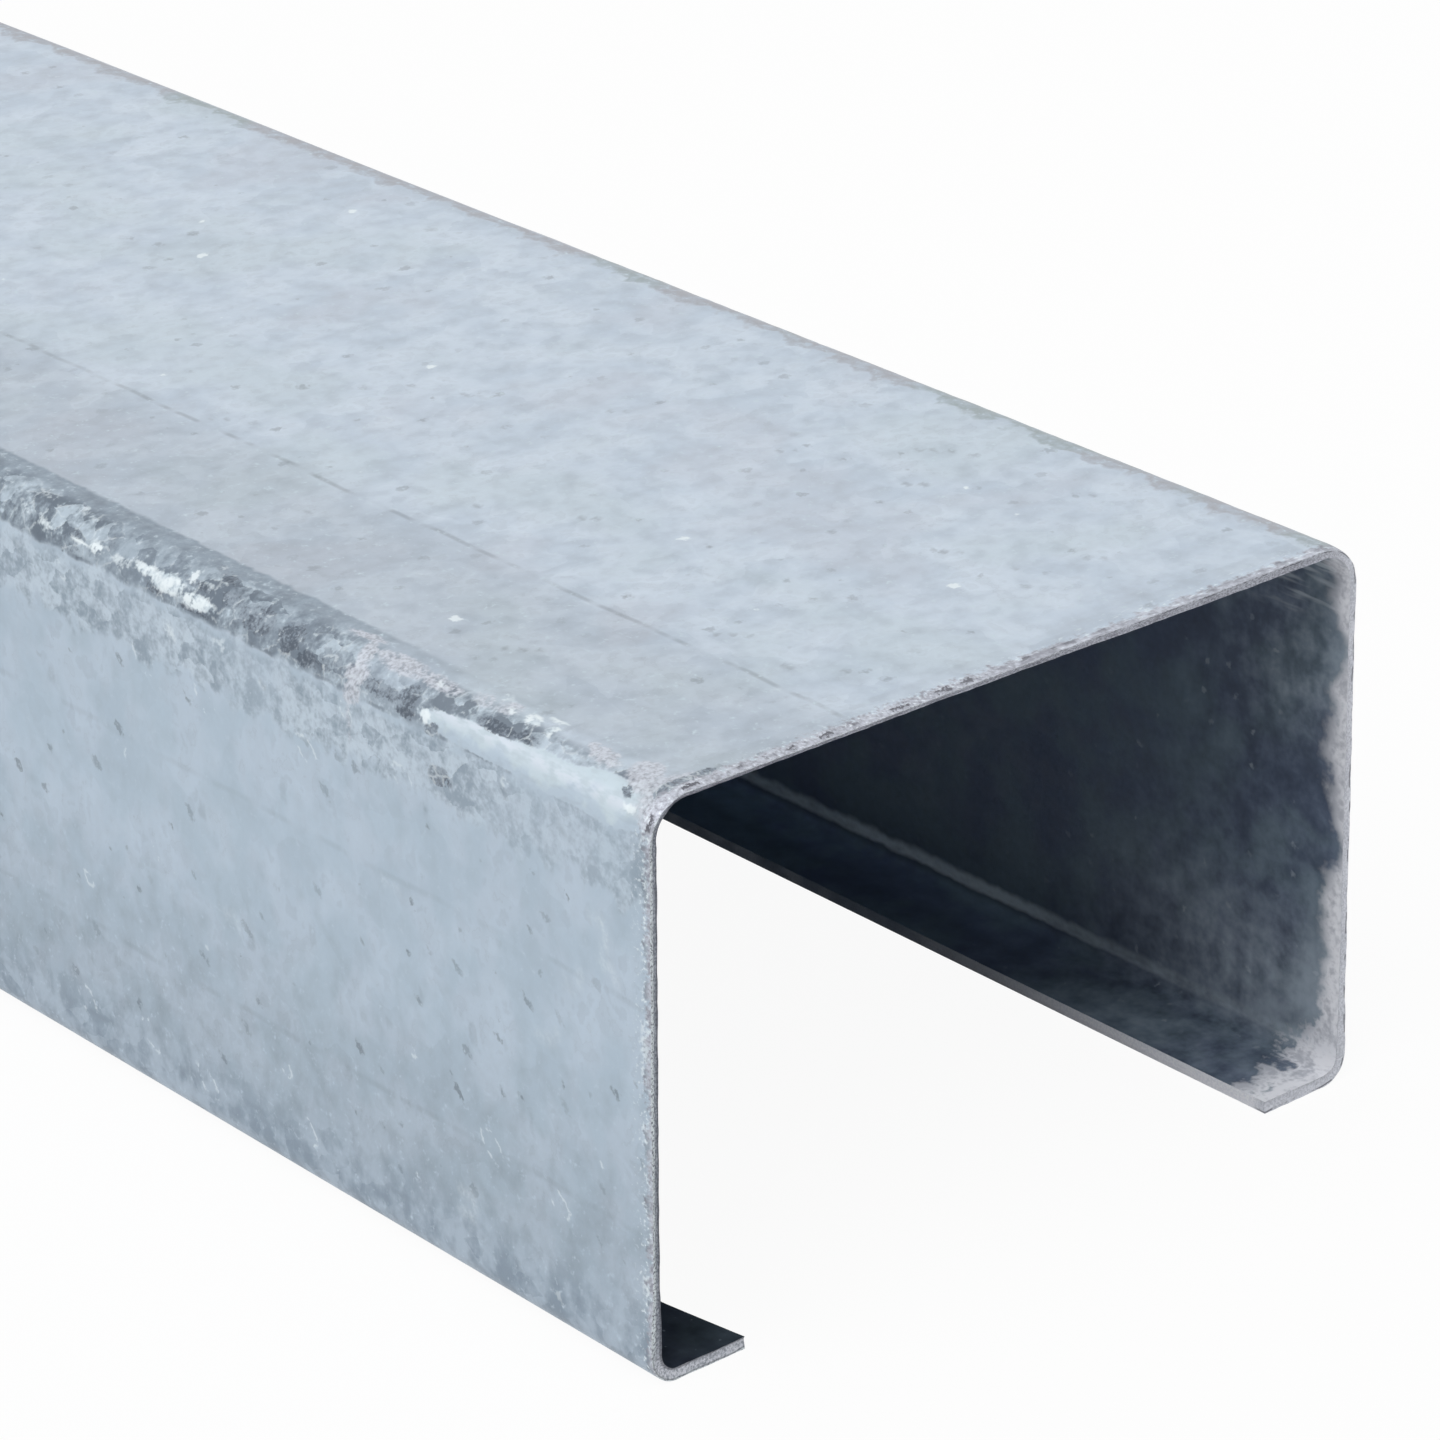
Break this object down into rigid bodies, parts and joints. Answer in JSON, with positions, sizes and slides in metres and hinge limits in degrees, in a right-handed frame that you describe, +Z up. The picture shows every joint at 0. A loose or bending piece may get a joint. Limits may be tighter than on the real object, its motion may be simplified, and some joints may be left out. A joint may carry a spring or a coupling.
{
  "type": "steel stud",
  "caption": "Cold-formed galvanised steel stud: a long C section with a wide web, flanges and inward lips.",
  "frame": {"origin": "on the floor under the stud, half way along it and half way across its web", "axes": "+X along the stud, +Y across the web, +Z up, from the open side towards the web"},
  "size_m": [2.438, 0.0636, 0.0413],
  "materials": {
    "galvanised_sheet": "galvanised zinc, softly mottled, with runs and dull grey bands along the bends"
  },
  "bodies": {
    "root": {"stud": "galvanised_sheet"}
  },
  "joints": []
}
